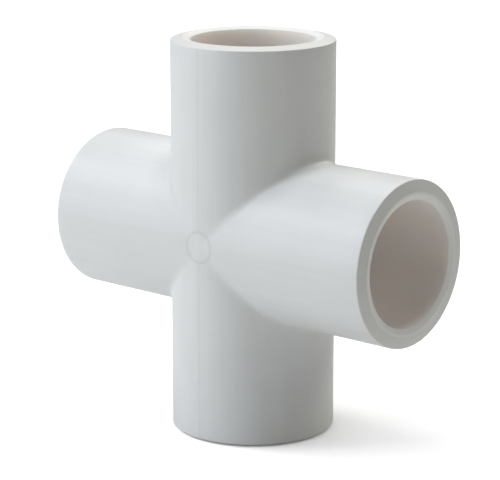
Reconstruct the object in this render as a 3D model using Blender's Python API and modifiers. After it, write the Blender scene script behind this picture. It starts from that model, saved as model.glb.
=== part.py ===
"""Equal cross fitting in white PVC-U for 20 mm solvent-cement pipe.

The fitting is one hollow moulding, which doesn't come apart. It is held here as its regions,
the centre body and the four socket ends, each a solid of its own with a thin gap between.
Frame: the four bore axes meet at the origin, +Z runs up the upright run and +X along the
right arm. The face with the gate mark looks along -Y. Metres.
"""

import math

import bmesh
import bpy
from mathutils import Vector

PIPE_DIAMETER = 0.020
OUTER_RADIUS = 0.01325
CENTRE_TO_BAND = 0.03175
CENTRE_TO_STOP = PIPE_DIAMETER / 2 + 0.001
WATERWAY_RADIUS = 0.0085

# Socket bore: slightly tapered
BORE_ROOT_RADIUS = 0.01000
BORE_MOUTH_RADIUS = 0.01005

# End face: the band slopes up to a narrow flat lip, and a lead-in slopes down from it to the bore
LIP_OUTER_RADIUS = 0.01135
LIP_INNER_RADIUS = 0.01095
LIP_HEIGHT = 0.0004
CENTRE_TO_LIP = CENTRE_TO_BAND + LIP_HEIGHT

# Where the centre body ends and the socket ends begin
SPLIT = 0.0150
SPLIT_GAP = 0.0003
BODY_REACH = SPLIT - SPLIT_GAP / 2
SOCKET_START = SPLIT + SPLIT_GAP / 2

# The saddle fillet's radius, which falls off from the gate mark toward the sides
FILLET_AT_GATE = 0.0080
FILLET_AT_SIDE = 0.0011
FILLET_FALL_OFF = 3

GATE_GROOVE_RADII = (0.00233, 0.00257)
GATE_GROOVE_DEPTH = 0.00016

ROUND_STEPS = 48
FILLET_STEPS = 4
CUTTER_OVERRUN = 0.002
MERGE_DISTANCE = 0.00001
SMALLEST_SWING = 1e-6
SHARP_ANGLE = math.radians(30)

PVC_COLOUR = (0.80, 0.81, 0.80, 1.0)
PVC_ROUGHNESS = 0.42

OBJECT_NAME = "cross_fitting"


def clear_scene():
    for obj in list(bpy.data.objects):
        bpy.data.objects.remove(obj, do_unlink=True)


def make_collection(name):
    collection = bpy.data.collections.new(name)
    bpy.context.scene.collection.children.link(collection)
    return collection


def pvc_material(name):
    """White rigid PVC-U with a satin moulded surface."""
    material = bpy.data.materials.new(name)
    material.use_nodes = True
    shader = material.node_tree.nodes["Principled BSDF"]
    shader.inputs["Base Color"].default_value = PVC_COLOUR
    shader.inputs["Roughness"].default_value = PVC_ROUGHNESS
    shader.inputs["Metallic"].default_value = 0.0
    return material


def add_object(name, mesh, collection):
    obj = bpy.data.objects.new(name, mesh)
    collection.objects.link(obj)
    return obj


def keep_evaluated(obj):
    """Makes the modified shape the object's own mesh, smooth round its walls and sharp at its rims."""
    graph = bpy.context.evaluated_depsgraph_get()
    mesh = bpy.data.meshes.new_from_object(obj.evaluated_get(graph))
    obj.modifiers.clear()
    obj.data = mesh
    mesh.shade_smooth()
    mesh.set_sharp_from_angle(angle=SHARP_ANGLE)


def turned_object(name, profile, collection):
    """A solid turned about Z from (radius, height) points, its outer side listed top to bottom."""
    mesh = bpy.data.meshes.new(name)
    points = [(radius, 0.0, height) for radius, height in profile]
    edges = [(i, (i + 1) % len(points)) for i in range(len(points))]
    on_axis = profile[0][0] == 0.0 and profile[-1][0] == 0.0
    mesh.from_pydata(points, edges[:-1] if on_axis else edges, [])
    obj = add_object(name, mesh, collection)
    screw = obj.modifiers.new("Turn", "SCREW")
    screw.axis = "Z"
    screw.angle = math.tau
    screw.steps = ROUND_STEPS
    screw.render_steps = ROUND_STEPS
    screw.use_merge_vertices = True
    screw.merge_threshold = MERGE_DISTANCE
    return obj


def socket_profile():
    """One socket end: lip, sloped band, outer wall, tapered bore and lead-in, facing +Z."""
    taper = (BORE_MOUTH_RADIUS - BORE_ROOT_RADIUS) / (CENTRE_TO_BAND - CENTRE_TO_STOP)
    bore_at_start = BORE_ROOT_RADIUS + taper * (SOCKET_START - CENTRE_TO_STOP)
    return [
        (LIP_OUTER_RADIUS, CENTRE_TO_LIP),
        (OUTER_RADIUS, CENTRE_TO_BAND),
        (OUTER_RADIUS, SOCKET_START),
        (bore_at_start, SOCKET_START),
        (BORE_MOUTH_RADIUS, CENTRE_TO_BAND),
        (LIP_INNER_RADIUS, CENTRE_TO_LIP),
    ]


def fillet_radius(turn):
    """The saddle fillet's radius: wide by the gate mark, where the walls meet flush, tight at the sides."""
    off_gate = abs(math.sin(turn))
    return FILLET_AT_SIDE + (FILLET_AT_GATE - FILLET_AT_SIDE) * (1 - off_gate) ** FILLET_FALL_OFF


def saddle_line(turn):
    """Points of the outer skin at one angle round the pipes, from the upper split to the right one.

    The angle starts at -Y and goes round by +X. A ball of the fillet's radius that rolls along both
    pipes has its centre where x equals z, and touches each pipe on the way to its axis.
    """
    radius = fillet_radius(turn)
    across = math.sin(turn)
    depth = -OUTER_RADIUS * math.cos(turn)
    touch = OUTER_RADIUS * across
    reach = (OUTER_RADIUS + radius) * across
    centre = (reach, -(OUTER_RADIUS + radius) * math.cos(turn), reach)
    on_upright = (touch, depth, reach)
    on_arm = (reach, depth, touch)
    start = [p - c for p, c in zip(on_upright, centre)]
    end = [p - c for p, c in zip(on_arm, centre)]
    cosine = sum(a * b for a, b in zip(start, end)) / radius**2
    swing = math.acos(max(-1.0, min(1.0, cosine)))
    line = [(touch, depth, BODY_REACH)]
    for i in range(FILLET_STEPS + 1):
        part = i / FILLET_STEPS
        if swing < SMALLEST_SWING:
            line.append(on_upright)
            continue
        toward_start = math.sin((1 - part) * swing) / math.sin(swing)
        toward_end = math.sin(part * swing) / math.sin(swing)
        line.append(tuple(c + toward_start * a + toward_end * b for c, a, b in zip(centre, start, end)))
    line.append((BODY_REACH, depth, touch))
    return line


def centre_skin(name):
    """The outer skin of the centre body: one quarter lofted, mirrored to four, with round caps."""
    shape = bmesh.new()
    rows = []
    for i in range(ROUND_STEPS // 2 + 1):
        rows.append([shape.verts.new(point) for point in saddle_line(math.tau * i / ROUND_STEPS)])
    for before, after in zip(rows, rows[1:]):
        for j in range(len(before) - 1):
            shape.faces.new((before[j], before[j + 1], after[j + 1], after[j]))
    for flip in (Vector((-1, 1, 1)), Vector((1, 1, -1))):
        made = bmesh.ops.duplicate(shape, geom=shape.verts[:] + shape.edges[:] + shape.faces[:])["geom"]
        for vert in (item for item in made if isinstance(item, bmesh.types.BMVert)):
            vert.co *= flip
    bmesh.ops.remove_doubles(shape, verts=shape.verts, dist=MERGE_DISTANCE)
    open_edges = [edge for edge in shape.edges if edge.is_boundary]
    bmesh.ops.holes_fill(shape, edges=open_edges, sides=0)
    bmesh.ops.recalc_face_normals(shape, faces=shape.faces)
    mesh = bpy.data.meshes.new(name)
    shape.to_mesh(mesh)
    shape.free()
    return mesh


def cut(target, cutter, label):
    boolean = target.modifiers.new(label, "BOOLEAN")
    boolean.operation = "DIFFERENCE"
    boolean.solver = "EXACT"
    boolean.object = cutter


def make_cutter(name, profile, rotation, collection):
    cutter = turned_object(name, profile, collection)
    cutter.rotation_euler = rotation
    cutter.hide_render = True
    cutter.display_type = "WIRE"
    return cutter


def bore_profile():
    """The hollow of one run: socket bore, pipe stop and waterway, and the same again mirrored."""
    taper = (BORE_MOUTH_RADIUS - BORE_ROOT_RADIUS) / (CENTRE_TO_BAND - CENTRE_TO_STOP)
    reach = BODY_REACH + CUTTER_OVERRUN
    bore_at_reach = BORE_ROOT_RADIUS + taper * (reach - CENTRE_TO_STOP)
    half = [(bore_at_reach, reach), (BORE_ROOT_RADIUS, CENTRE_TO_STOP), (WATERWAY_RADIUS, CENTRE_TO_STOP)]
    mirrored = [(radius, -height) for radius, height in reversed(half)]
    return [(0.0, reach)] + half + mirrored + [(0.0, -reach)]


def gate_groove_profile():
    """A thin ring round the gate mark, as deep as the moulded witness line."""
    inner, outer = GATE_GROOVE_RADII
    floor = OUTER_RADIUS - GATE_GROOVE_DEPTH
    top = OUTER_RADIUS + CUTTER_OVERRUN
    return [(inner, top), (outer, top), (outer, floor), (inner, floor)]


def build_centre_body(parts, cutters):
    body = add_object("centre_body", centre_skin("centre_body"), parts)
    body.data.materials.append(pvc_material("pvc_centre_body"))
    along_x = (0.0, math.radians(90), 0.0)
    toward_front = (math.radians(90), 0.0, 0.0)
    cut(body, make_cutter("upright_bore_cutter", bore_profile(), (0.0, 0.0, 0.0), cutters), "Upright bore")
    cut(body, make_cutter("cross_bore_cutter", bore_profile(), along_x, cutters), "Cross bore")
    cut(body, make_cutter("gate_mark_cutter", gate_groove_profile(), toward_front, cutters), "Gate mark")
    keep_evaluated(body)


def build_sockets(parts):
    turns = {
        "upper_socket": 0.0,
        "right_socket": math.radians(90),
        "lower_socket": math.radians(180),
        "left_socket": math.radians(270),
    }
    for name, turn in turns.items():
        socket = turned_object(name, socket_profile(), parts)
        socket.data.materials.append(pvc_material("pvc_" + name))
        keep_evaluated(socket)
        socket.rotation_euler = (0.0, turn, 0.0)


def main():
    clear_scene()
    parts = make_collection(OBJECT_NAME)
    cutters = make_collection(OBJECT_NAME + "_cutters")
    build_centre_body(parts, cutters)
    build_sockets(parts)


main()
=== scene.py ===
"""Looks of the equal cross fitting: one seamless white PVC-U moulding in five named regions.

Each CAD node is replaced by a fine mesh of the same region. The meshes meet on the CAD's split
planes with the same points, so that the skin runs on unbroken, as it does on the real moulding.
Metres, with -Y toward the face that carries the gate mark.
"""

import math

import bmesh
import bpy
from mathutils import Euler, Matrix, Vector


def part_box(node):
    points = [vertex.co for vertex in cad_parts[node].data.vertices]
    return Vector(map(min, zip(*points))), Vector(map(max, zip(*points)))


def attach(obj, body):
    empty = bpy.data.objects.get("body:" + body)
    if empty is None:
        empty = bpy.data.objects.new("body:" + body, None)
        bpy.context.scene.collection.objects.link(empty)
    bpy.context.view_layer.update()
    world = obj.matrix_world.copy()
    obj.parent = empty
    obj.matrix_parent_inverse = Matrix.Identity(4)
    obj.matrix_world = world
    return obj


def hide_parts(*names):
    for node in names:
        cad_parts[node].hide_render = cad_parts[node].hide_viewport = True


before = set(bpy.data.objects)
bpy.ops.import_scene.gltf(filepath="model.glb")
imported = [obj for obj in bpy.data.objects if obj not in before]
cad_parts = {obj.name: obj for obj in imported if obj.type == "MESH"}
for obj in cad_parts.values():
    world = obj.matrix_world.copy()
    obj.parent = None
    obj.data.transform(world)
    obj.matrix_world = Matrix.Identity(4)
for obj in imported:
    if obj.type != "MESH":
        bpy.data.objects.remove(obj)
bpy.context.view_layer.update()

MM = 0.001

# Sizes that the frame gives
UPPER_LOW, UPPER_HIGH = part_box("upper_socket")
CENTRE_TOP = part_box("centre_body")[1][2]
OUTER_RADIUS = UPPER_HIGH[0]
CENTRE_TO_LIP = UPPER_HIGH[2]
SPLIT = (UPPER_LOW[2] + CENTRE_TOP) / 2

# Sizes that repeat the CAD's
LIP_HEIGHT = 0.40 * MM
CENTRE_TO_BAND = CENTRE_TO_LIP - LIP_HEIGHT
LIP_OUTER_RADIUS = 11.35 * MM
LIP_INNER_RADIUS = 10.95 * MM
BORE_MOUTH_RADIUS = 10.05 * MM
BORE_ROOT_RADIUS = 10.00 * MM
CENTRE_TO_STOP = 11.00 * MM
WATERWAY_RADIUS = 8.50 * MM
SADDLE_FILLET_AT_GATE = 8.00 * MM
SADDLE_FILLET_AT_SIDE = 1.10 * MM
SADDLE_FILLET_FALL_OFF = 3
GATE_RADIUS = 2.45 * MM

# Fine shape that only the looks have
RIM_ROUNDING = 0.18 * MM
LIP_ROUNDING = 0.30 * MM
MOUTH_ROUNDING = 0.12 * MM
STOP_ROUNDING = 0.25 * MM
WATERWAY_ROUNDING = 0.35 * MM
# The next two are not shape but the spread of painted shade: in the gate mark's ring and along the
# parting line
PAINTED_SHADE_SPREAD_AT_GATE = 0.24 * MM
PAINTED_SHADE_SPREAD_AT_PARTING = 0.25 * MM
PARTING_HALF_WIDTH = 0.10 * MM
PARTING_DEPTH = 0.03 * MM
PARTING_REACH = 0.985  # share of the outer radius beyond which a point is near the parting line

# Mesh density
TURNS_PER_HALF = 84
ARC_STEPS = 5
SADDLE_STEPS = 8
WALL_ROWS = 10
PARTING_COLUMNS = (0.05 * MM, 0.10 * MM, 0.16 * MM, 0.24 * MM)
CLEAR_OF_COLUMNS = 1.4
SMALLEST_SWING = 1e-6
MERGE_DISTANCE = 1e-7
SHARP_ANGLE = math.radians(32)

ZONES = ("skin", "band", "lip", "bore", "waterway")

# Painted shade: how much darker the gate mark's ring and the parting line are painted than the skin,
# standing in for the shade of a fine groove round the gate and of a small step along the parting
# line, which is also sunk a little into the mesh; and how much lighter the disc inside the ring is
GATE_RING_SHADE = 0.10
PARTING_SHADE = 0.04
GATE_DISC_LIFT = 0.015

# Each noise as its scale, detail and roughness, and what it does to the surface
CLOUD_NOISE = (110, 3, 0.5)
CLOUD_SHADES = (0.985, 1.012)
SPECK_NOISE = (5200, 2, 0.6)
SPECK_SHADES = (0.988, 1.008)
STREAK_NOISE = (900, 2, 0.5)
STREAK_SHADES = (0.988, 1.012)
GLOSS_NOISE = (420, 4, 0.6)
GLOSS_SPREAD = (-0.04, 0.05)
GRAIN_NOISE = (2600, 3, 0.55)
GRAIN_DEPTH = 0.02 * MM
PVC_IOR = 1.53

# The streaks' noise is squeezed lengthwise by this much, which draws it out into fine lines
STREAK_SQUEEZE = 0.03

# Light through the walls: a slight painted glow, an even emission standing in for light let through,
# and scattering that starts a little past the split planes
GLOW_COLOUR = (1.0, 0.88, 0.80, 1.0)
GLOW_STRENGTH = 0.04
SCATTER_WEIGHT = 0.8
SCATTER_RADIUS = (1.0, 0.84, 0.70)
SCATTER_SCALE = 4.0 * MM
SCATTER_START = 0.5 * MM
SCATTER_FULL = 6.0 * MM


# --- Points ---------------------------------------------------------------------------------

def arc_points(centre, start, end, steps):
    """Points on the short arc about centre, from start to end."""
    first = start - centre
    last = end - centre
    swing = first.angle(last, 0.0)
    if swing < SMALLEST_SWING:
        return [start.copy() for _ in range(steps + 1)]
    points = []
    for i in range(steps + 1):
        part = i / steps
        blend = math.sin((1 - part) * swing) * first + math.sin(part * swing) * last
        points.append(centre + blend / math.sin(swing))
    return points


def rounded_corner(before, corner, after, rounding):
    """The corner's points in a (radius, height) outline, as an arc where it has a rounding."""
    if rounding == 0:
        return [corner]
    back = (before - corner).normalized()
    ahead = (after - corner).normalized()
    half = back.angle(ahead) / 2
    centre = corner + (back + ahead).normalized() * rounding / math.sin(half)
    reach = rounding / math.tan(half)
    return arc_points(centre, corner + back * reach, corner + ahead * reach, ARC_STEPS)


def rounded_outline(corners, closed):
    """The points of (radius, height, rounding, zone) corners, and the zone of each point's next edge."""
    points = []
    zones = []
    last = len(corners) - 1
    for i, (radius, height, rounding, zone) in enumerate(corners):
        at_end = not closed and i in (0, last)
        before = Vector(corners[i - 1][:2])
        after = Vector(corners[(i + 1) % len(corners)][:2])
        made = rounded_corner(before, Vector((radius, height)), after, 0 if at_end else rounding)
        points += made
        zones += [zone] * len(made)
    return points, zones


def half_turns():
    """Angles from -Y round by +X to +Y, closer together where the parting line runs."""
    even = [math.pi * i / TURNS_PER_HALF for i in range(TURNS_PER_HALF + 1)]
    fine = [offset / OUTER_RADIUS for offset in PARTING_COLUMNS]
    clear = fine[-1] * CLEAR_OF_COLUMNS
    kept = [turn for turn in even if clear < turn < math.pi - clear]
    return [0.0] + fine + kept + [math.pi - turn for turn in reversed(fine)] + [math.pi]


def bore_radius_at(height):
    share = (height - CENTRE_TO_STOP) / (CENTRE_TO_BAND - CENTRE_TO_STOP)
    return BORE_ROOT_RADIUS + share * (BORE_MOUTH_RADIUS - BORE_ROOT_RADIUS)


# --- Meshes ---------------------------------------------------------------------------------

def finish_mesh(shape, name):
    """Welds the shape, turns its faces outward and makes a mesh, smooth but for its edges."""
    bmesh.ops.remove_doubles(shape, verts=shape.verts, dist=MERGE_DISTANCE)
    bmesh.ops.dissolve_degenerate(shape, dist=MERGE_DISTANCE, edges=shape.edges)
    bmesh.ops.recalc_face_normals(shape, faces=shape.faces)
    mesh = bpy.data.meshes.new(name)
    shape.to_mesh(mesh)
    shape.free()
    mesh.shade_smooth()
    mesh.set_sharp_from_angle(angle=SHARP_ANGLE)
    return mesh


def socket_corners():
    """A socket end: sloped band, outer wall, tapered bore, lead-in and lip, closed on the split."""
    wall_rows = [
        (OUTER_RADIUS, CENTRE_TO_BAND + (SPLIT - CENTRE_TO_BAND) * i / WALL_ROWS, 0, "skin")
        for i in range(1, WALL_ROWS)
    ]
    return [
        (LIP_OUTER_RADIUS, CENTRE_TO_LIP, LIP_ROUNDING, "band"),
        (OUTER_RADIUS, CENTRE_TO_BAND, RIM_ROUNDING, "skin"),
        *wall_rows,
        (OUTER_RADIUS, SPLIT, 0, "skin"),
        (bore_radius_at(SPLIT), SPLIT, 0, "bore"),
        (BORE_MOUTH_RADIUS, CENTRE_TO_BAND, MOUTH_ROUNDING, "lip"),
        (LIP_INNER_RADIUS, CENTRE_TO_LIP, LIP_ROUNDING, "lip"),
    ]


def press_parting_line(vert):
    """Sinks the mould's parting line into the skin, on the plane x = 0 but not in the gate mark."""
    if abs(vert.co.y) < OUTER_RADIUS * PARTING_REACH:
        return
    dip = PARTING_DEPTH * math.exp(-((vert.co.x / PARTING_HALF_WIDTH) ** 2))
    if vert.co.y < 0:
        dip *= max(0.0, min(1.0, (abs(vert.co.z) - GATE_RADIUS) / GATE_RADIUS))
    vert.co.y -= math.copysign(dip, vert.co.y)


def socket_mesh(name, tilt, has_parting_line):
    """A socket end turned about its own axis and tilted about Y from the upright."""
    points, zones = rounded_outline(socket_corners(), closed=True)
    right = half_turns()
    turns = right + [-turn for turn in reversed(right[1:-1])]
    shape = bmesh.new()
    rings = []
    for turn in turns:
        rings.append([
            shape.verts.new((p.x * math.sin(turn), -p.x * math.cos(turn), p.y)) for p in points
        ])
    for before, after in zip(rings, rings[1:] + rings[:1]):
        for i, zone in enumerate(zones):
            j = (i + 1) % len(points)
            face = shape.faces.new((before[i], before[j], after[j], after[i]))
            face.material_index = ZONES.index(zone)
    if has_parting_line:
        for vert in shape.verts:
            press_parting_line(vert)
    bmesh.ops.rotate(shape, verts=shape.verts, matrix=Euler((0, tilt, 0)).to_matrix())
    return finish_mesh(shape, name)


def saddle_points(turn, radius, blend):
    """The arc, at one angle, that a ball of radius blend leaves between two equal round walls.

    The ball rolls along both walls with its centre on x = z, so it touches the upright at the
    first point of the arc and the arm at the last.
    """
    across = math.sin(turn)
    depth = -math.cos(turn)
    far = radius + blend
    centre = Vector((far * across, far * depth, far * across))
    on_upright = Vector((radius * across, radius * depth, far * across))
    on_arm = Vector((far * across, radius * depth, radius * across))
    return arc_points(centre, on_upright, on_arm, SADDLE_STEPS)


def swapped(points):
    """The same points for the arm, whose axis is X, in the opposite order."""
    return [Vector((p.z, p.y, p.x)) for p in reversed(points)]


def saddle_fillet(turn):
    """The fillet's radius: wide by the gate mark, where the walls meet flush, tight at the sides."""
    near_gate = (1 - abs(math.sin(turn))) ** SADDLE_FILLET_FALL_OFF
    return SADDLE_FILLET_AT_SIDE + (SADDLE_FILLET_AT_GATE - SADDLE_FILLET_AT_SIDE) * near_gate


def centre_loop(turn):
    """The centre body's closed section at one angle, and the zone of each point's next edge."""
    across = math.sin(turn)
    depth = -math.cos(turn)
    skin = saddle_points(turn, OUTER_RADIUS, saddle_fillet(turn))
    heights = [SPLIT + (skin[0].z - SPLIT) * i / WALL_ROWS for i in range(WALL_ROWS)]
    wall = [Vector((OUTER_RADIUS * across, OUTER_RADIUS * depth, height)) for height in heights]
    water = saddle_points(turn, WATERWAY_RADIUS, WATERWAY_ROUNDING)
    hollow, hollow_zones = rounded_outline(
        [
            (bore_radius_at(SPLIT), SPLIT, 0, "bore"),
            (BORE_ROOT_RADIUS, CENTRE_TO_STOP, STOP_ROUNDING, "waterway"),
            (WATERWAY_RADIUS, CENTRE_TO_STOP, STOP_ROUNDING, "waterway"),
            (WATERWAY_RADIUS, 0, 0, "waterway"),
        ],
        closed=False,
    )
    hollow = hollow[:-1]
    hollow_zones = hollow_zones[:-1]
    bore = [Vector((p.x * across, p.x * depth, p.y)) for p in hollow]
    outside = wall + skin + swapped(wall)
    inside = swapped(bore)[::-1] + water[::-1] + bore[::-1]
    outer_zones = ["skin"] * len(outside)
    inner_zones = hollow_zones + ["waterway"] * len(water) + hollow_zones[::-1]
    inner_zones[-1] = "skin"
    return outside + inside, outer_zones + inner_zones


def centre_mesh(name):
    """The centre body: one quarter swept round, then mirrored to four."""
    shape = bmesh.new()
    loops = []
    for turn in half_turns():
        points, zones = centre_loop(turn)
        loops.append([shape.verts.new(point) for point in points])
    for before, after in zip(loops, loops[1:]):
        for i, zone in enumerate(zones):
            j = (i + 1) % len(before)
            face = shape.faces.new((before[i], before[j], after[j], after[i]))
            face.material_index = ZONES.index(zone)
    for flip in (Vector((-1, 1, 1)), Vector((1, 1, -1))):
        everything = shape.verts[:] + shape.edges[:] + shape.faces[:]
        copy = bmesh.ops.duplicate(shape, geom=everything)["geom"]
        for vert in (item for item in copy if isinstance(item, bmesh.types.BMVert)):
            vert.co *= flip
    for vert in shape.verts:
        press_parting_line(vert)
    return finish_mesh(shape, name)


# --- Materials ------------------------------------------------------------------------------

class Shading:
    """A material's node tree, with short calls for the few kinds of node used here."""

    def __init__(self, name):
        self.material = bpy.data.materials.new(name)
        self.material.use_nodes = True
        self.nodes = self.material.node_tree.nodes
        self.links = self.material.node_tree.links
        self.shader = self.nodes["Principled BSDF"]
        place = self.nodes.new("ShaderNodeTexCoord")
        self.place = place.outputs["Object"]
        split = self.nodes.new("ShaderNodeSeparateXYZ")
        self.links.new(self.place, split.inputs["Vector"])
        self.x, self.y, self.z = split.outputs
        self.from_x = self.number("ABSOLUTE", self.x)
        self.from_z = self.number("ABSOLUTE", self.z)

    def set(self, **values):
        for name, value in values.items():
            self.shader.inputs[name.replace("_", " ")].default_value = value

    def number(self, operation, *inputs):
        node = self.nodes.new("ShaderNodeMath")
        node.operation = operation
        for socket, value in zip(node.inputs, inputs):
            if isinstance(value, (int, float)):
                socket.default_value = value
            else:
                self.links.new(value, socket)
        return node.outputs["Value"]

    def noise(self, kind, vector=None):
        scale, detail, rough = kind
        texture = self.nodes.new("ShaderNodeTexNoise")
        texture.inputs["Scale"].default_value = scale
        texture.inputs["Detail"].default_value = detail
        texture.inputs["Roughness"].default_value = rough
        self.links.new(self.place if vector is None else vector, texture.inputs["Vector"])
        return texture.outputs["Fac"]

    def ranged(self, value, low, high, start=0.3, end=0.7, smooth=False):
        """Value moved from start and end to low and high; noise mostly lies in 0.3 to 0.7."""
        span = self.nodes.new("ShaderNodeMapRange")
        if smooth:
            span.interpolation_type = "SMOOTHSTEP"
        span.inputs["From Min"].default_value = start
        span.inputs["From Max"].default_value = end
        span.inputs["To Min"].default_value = low
        span.inputs["To Max"].default_value = high
        self.links.new(value, span.inputs["Value"])
        return span.outputs["Result"]

    def soft_line(self, distance, spread):
        """One on the line, falling off to nothing within about two spreads of it."""
        share = self.number("DIVIDE", distance, spread)
        square = self.number("MULTIPLY", share, share)
        return self.number("EXPONENT", self.number("MULTIPLY", square, -1.0))

    def darkened(self, shade, where, by):
        lost = self.number("MULTIPLY", where, by)
        return self.number("MULTIPLY", shade, self.number("SUBTRACT", 1.0, lost))


def streaked(draw, shade):
    """Faint drag streaks, lengthwise on the upright and on the arms."""
    on_arm = draw.number("GREATER_THAN", draw.from_x, draw.from_z)
    on_upright = draw.number("SUBTRACT", 1.0, on_arm)
    along = draw.nodes.new("ShaderNodeCombineXYZ")
    for socket, value, lengthwise in (("X", draw.x, on_arm), ("Z", draw.z, on_upright)):
        lost = draw.number("MULTIPLY", lengthwise, 1 - STREAK_SQUEEZE)
        kept = draw.number("SUBTRACT", 1.0, lost)
        draw.links.new(draw.number("MULTIPLY", value, kept), along.inputs[socket])
    draw.links.new(draw.y, along.inputs["Y"])
    streaks = draw.noise(STREAK_NOISE, along.outputs["Vector"])
    return draw.number("MULTIPLY", shade, draw.ranged(streaks, *STREAK_SHADES))


def marked(draw, shade):
    """The gate mark, a round disc in a fine ring of painted shade on the -Y face, and painted shade
    along the parting line on x = 0.
    """
    squares = [draw.number("MULTIPLY", value, value) for value in (draw.x, draw.z)]
    from_gate = draw.number("SQRT", draw.number("ADD", *squares))
    in_front = draw.number("LESS_THAN", draw.y, 0.0)
    disc = draw.number("MULTIPLY", draw.number("LESS_THAN", from_gate, GATE_RADIUS), in_front)
    ring = draw.soft_line(draw.number("SUBTRACT", from_gate, GATE_RADIUS), PAINTED_SHADE_SPREAD_AT_GATE)
    parting = draw.soft_line(draw.x, PAINTED_SHADE_SPREAD_AT_PARTING)
    # Painted shade: the ring and the parting line are darkened in colour, standing in for the shade in a
    # groove and at a step
    shade = draw.darkened(shade, draw.number("MULTIPLY", ring, in_front), GATE_RING_SHADE)
    shade = draw.darkened(shade, disc, -GATE_DISC_LIFT)
    outside = draw.number("SUBTRACT", 1.0, disc)
    return draw.darkened(shade, draw.number("MULTIPLY", parting, outside), PARTING_SHADE)


def scatter_and_paint_glow(draw):
    """Light that comes through the wall into the bores: subsurface scattering near the mouths, and a
    painted glow.

    Scattering stops short of the split planes, where each piece's hidden end would swallow it as
    a dark line. A slight even painted glow, an emission over all of the bores and the waterway,
    stands in for it further down.
    """
    # Painted light: an even emission on the bores and waterway, standing in for light let through the
    # walls
    draw.set(Emission_Color=GLOW_COLOUR, Emission_Strength=GLOW_STRENGTH)
    draw.set(Subsurface_Radius=SCATTER_RADIUS, Subsurface_Scale=SCATTER_SCALE)
    outward = draw.number("MAXIMUM", draw.from_x, draw.from_z)
    start = SPLIT + SCATTER_START
    full = SPLIT + SCATTER_FULL
    weight = draw.ranged(outward, 0.0, SCATTER_WEIGHT, start, full, smooth=True)
    draw.links.new(weight, draw.shader.inputs["Subsurface Weight"])


def pvc_material(name, colour, roughness, grain, outer=False, glows_and_scatters=False):
    """Moulded white PVC-U: broad cloudiness, fine speckle, uneven gloss and a satin grain."""
    draw = Shading(name)
    draw.set(IOR=PVC_IOR)
    shade = draw.number(
        "MULTIPLY",
        draw.ranged(draw.noise(CLOUD_NOISE), *CLOUD_SHADES),
        draw.ranged(draw.noise(SPECK_NOISE), *SPECK_SHADES),
    )
    # The skin alone takes the painted shade at the gate mark's ring and along the parting line
    if outer:
        shade = marked(draw, streaked(draw, shade))
    # Bores and waterway take a painted glow as well as scattering
    if glows_and_scatters:
        scatter_and_paint_glow(draw)
    tint = draw.nodes.new("ShaderNodeMix")
    tint.data_type = "RGBA"
    tint.blend_type = "MULTIPLY"
    tint.inputs["Factor"].default_value = 1.0
    tint.inputs["A"].default_value = (*colour, 1.0)
    draw.links.new(shade, tint.inputs["B"])
    draw.links.new(tint.outputs["Result"], draw.shader.inputs["Base Color"])

    glossiest, dullest = (roughness + change for change in GLOSS_SPREAD)
    uneven = draw.ranged(draw.noise(GLOSS_NOISE), glossiest, dullest)
    draw.links.new(uneven, draw.shader.inputs["Roughness"])

    bump = draw.nodes.new("ShaderNodeBump")
    bump.inputs["Strength"].default_value = grain
    bump.inputs["Distance"].default_value = GRAIN_DEPTH
    draw.links.new(draw.noise(GRAIN_NOISE), bump.inputs["Height"])
    draw.links.new(bump.outputs["Normal"], draw.shader.inputs["Normal"])
    return draw.material


def zone_materials():
    """One material for each of ZONES, in that order: name, colour, roughness and strength of grain."""
    return [
        # Painted light and shade: all five are the one white PVC, but the lip's colour is painted
        # lighter than the skin's, and the band's, bore's and waterway's darker, for how the light falls
        # on each
        pvc_material("pvc_skin", (0.755, 0.765, 0.760), 0.42, 0.35, outer=True),
        pvc_material("pvc_band", (0.730, 0.736, 0.720), 0.50, 0.50),
        pvc_material("pvc_lip", (0.850, 0.852, 0.830), 0.50, 0.20),
        pvc_material("pvc_bore", (0.73, 0.72, 0.71), 0.38, 0.25, glows_and_scatters=True),
        pvc_material("pvc_waterway", (0.75, 0.74, 0.73), 0.45, 0.35, glows_and_scatters=True),
    ]


# --- Pieces ---------------------------------------------------------------------------------

def add_piece(name, mesh, node, materials):
    """A visible piece that stands for a CAD node and rides on the one rigid body."""
    piece = bpy.data.objects.new(name, mesh)
    bpy.context.scene.collection.objects.link(piece)
    for material in materials:
        mesh.materials.append(material)
    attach(piece, "root")
    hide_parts(node)
    return piece


# Each socket end's side, its tilt from the upright in degrees, and whether the parting line runs on it
ENDS = (
    ("upper", 0, True),
    ("right", 90, False),
    ("lower", 180, True),
    ("left", 270, False),
)


def build_fitting():
    materials = zone_materials()
    centre = add_piece("centre_moulding", centre_mesh("centre_moulding"), "centre_body", materials)
    made = [centre]
    for side, tilt, has_parting_line in ENDS:
        name = side + "_socket_moulding"
        mesh = socket_mesh(name, math.radians(tilt), has_parting_line)
        made.append(add_piece(name, mesh, side + "_socket", materials))
    return made


# --- Stage ----------------------------------------------------------------------------------

FLOOR_SIZE = 6.0
FLOOR_GAP = 0.5 * MM
FLOOR_ROUGHNESS = 0.9
SEEN_GREY = 0.95
BOUNCE_GREY = 0.75
LIGHT_DISTANCE = 0.8
LIGHT_SIZE = 0.25
OVERHEAD = 89.9  # just short of 90 degrees, where a lamp's turn about its own axis is not settled

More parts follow.
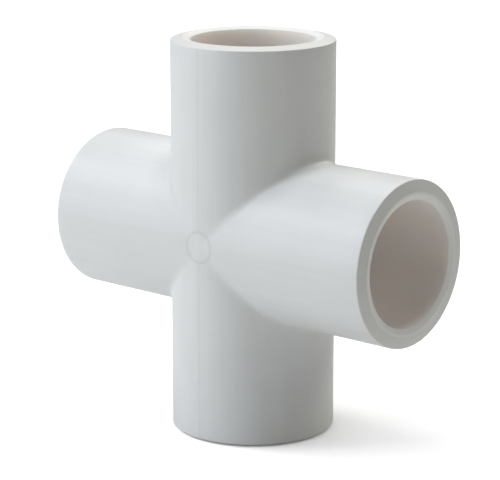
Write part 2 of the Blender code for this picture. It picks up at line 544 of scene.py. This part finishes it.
# Softbox tints, and each softbox as name, azimuth, elevation, power in watts and tint
COOL = (0.89, 0.92, 1.0)
NEUTRAL = (0.97, 1.0, 0.97)
WARM = (1.0, 0.96, 0.86)
FITTING_LIGHTS = (
    ("key_low", -45, 10, 0.9, COOL),
    ("key", -45, 35, 1.6, COOL),
    ("front_low", -15, 10, 1.4, NEUTRAL),
    ("left", -75, 35, 0.9, NEUTRAL),
    ("overhead", 0, OVERHEAD, 2.2, COOL),
    ("back_left", -135, 60, 1.2, NEUTRAL),
    ("back_low", -165, 35, 1.4, WARM),
    ("right", 105, 35, 0.8, WARM),
    ("back_high", 180, 60, 1.4, WARM),
)

# The seen floor's own light, as name, azimuth, elevation, width and strength: a wide low sun that
# sends one soft shadow off to the right, and a dome that darkens only where the fitting stands
FLOOR_LIGHTS = (
    ("floor_sun", -70, 20, 60, 4.0),
    ("floor_dome", 0, OVERHEAD, 180, 3.5),
)


def build_floor(name, grey):
    bpy.ops.mesh.primitive_plane_add(size=FLOOR_SIZE, location=(0, 0, -CENTRE_TO_LIP))
    floor = bpy.context.object
    floor.name = name
    material = bpy.data.materials.new(name)
    material.use_nodes = True
    shader = material.node_tree.nodes["Principled BSDF"]
    shader.inputs["Base Color"].default_value = (grey, grey, grey, 1)
    shader.inputs["Roughness"].default_value = FLOOR_ROUGHNESS
    shader.inputs["Specular IOR Level"].default_value = 0.0
    floor.data.materials.append(material)
    return floor


def build_floors():
    """The white floor that is seen, and a grey one just under it that only throws light back."""
    seen = build_floor("studio_floor", SEEN_GREY)
    seen.visible_diffuse = False
    seen.visible_glossy = False
    seen.visible_transmission = False
    seen.visible_shadow = False
    bounce = build_floor("bounce_floor", BOUNCE_GREY)
    bounce.location.z -= FLOOR_GAP
    bounce.visible_camera = False
    bounce.visible_shadow = False
    return seen, bounce


def direction(azimuth, elevation):
    """The way from the fitting to a place seen at these angles; azimuth 0 is in front, on -Y."""
    a = math.radians(azimuth)
    e = math.radians(elevation)
    return Vector((math.sin(a) * math.cos(e), -math.cos(a) * math.cos(e), math.sin(e)))


def soft_box(name, azimuth, elevation, watts, tint, lit):
    """A square soft light that lights only the objects in one collection."""
    light = bpy.data.lights.new(name, "AREA")
    light.shape = "SQUARE"
    light.size = LIGHT_SIZE
    light.energy = watts
    light.color = tint
    lamp = bpy.data.objects.new(name, light)
    toward = direction(azimuth, elevation)
    lamp.location = toward * LIGHT_DISTANCE
    lamp.rotation_euler = toward.to_track_quat("Z", "Y").to_euler()
    lamp.light_linking.receiver_collection = lit
    bpy.context.scene.collection.objects.link(lamp)


def wide_sun(name, azimuth, elevation, width, strength, lit):
    """A sun that looks as wide as so many degrees and lights only the objects in one collection."""
    light = bpy.data.lights.new(name, "SUN")
    light.energy = strength
    light.angle = math.radians(width)
    sun = bpy.data.objects.new(name, light)
    sun.rotation_euler = direction(azimuth, elevation).to_track_quat("Z", "Y").to_euler()
    sun.light_linking.receiver_collection = lit
    bpy.context.scene.collection.objects.link(sun)


def lit_group(name, objects):
    """A collection of the objects that a lamp is linked to."""
    group = bpy.data.collections.new(name)
    for obj in objects:
        group.objects.link(obj)
    return group


def build_world():
    """A white backdrop that the camera sees but that lights nothing."""
    world = bpy.data.worlds.new("studio")
    world.use_nodes = True
    background = world.node_tree.nodes["Background"]
    background.inputs["Color"].default_value = (1.0, 1.0, 1.0, 1.0)
    background.inputs["Strength"].default_value = 1.0
    world.cycles_visibility.diffuse = False
    world.cycles_visibility.glossy = False
    world.cycles_visibility.transmission = False
    world.cycles_visibility.scatter = False
    bpy.context.scene.world = world


def build_lights(fitting, seen_floor, bounce_floor):
    fitting_group = lit_group("lit_as_fitting", [*fitting, bounce_floor])
    floor_group = lit_group("lit_as_floor", [seen_floor])
    for light in FITTING_LIGHTS:
        soft_box(*light, fitting_group)
    for light in FLOOR_LIGHTS:
        wide_sun(*light, floor_group)


# --- Camera ---------------------------------------------------------------------------------

# Angles in degrees, lens and sensor in millimetres, and places in outer radii of the fitting
CAMERA_AZIMUTH = 40.83
CAMERA_ELEVATION = 13.81
CAMERA_DISTANCE = 27.29 * OUTER_RADIUS
CAMERA_RIGHT = -0.039 * OUTER_RADIUS
CAMERA_UP = -0.090 * OUTER_RADIUS
CAMERA_LENS = 160.4
CAMERA_SENSOR = 36.0
CAMERA_CLIP = (0.01, 20.0)


def build_camera():
    data = bpy.data.cameras.new("camera")
    data.lens = CAMERA_LENS
    data.sensor_width = CAMERA_SENSOR
    data.clip_start, data.clip_end = CAMERA_CLIP
    camera = bpy.data.objects.new("camera", data)
    toward = direction(CAMERA_AZIMUTH, CAMERA_ELEVATION)
    turn = toward.to_track_quat("Z", "Y")
    camera.rotation_euler = turn.to_euler()
    camera.location = toward * CAMERA_DISTANCE + turn @ Vector((CAMERA_RIGHT, CAMERA_UP, 0))
    bpy.context.scene.collection.objects.link(camera)
    bpy.context.scene.camera = camera


pieces = build_fitting()
build_lights(pieces, *build_floors())
build_world()
build_camera()
bpy.context.scene.view_settings.view_transform = "Standard"
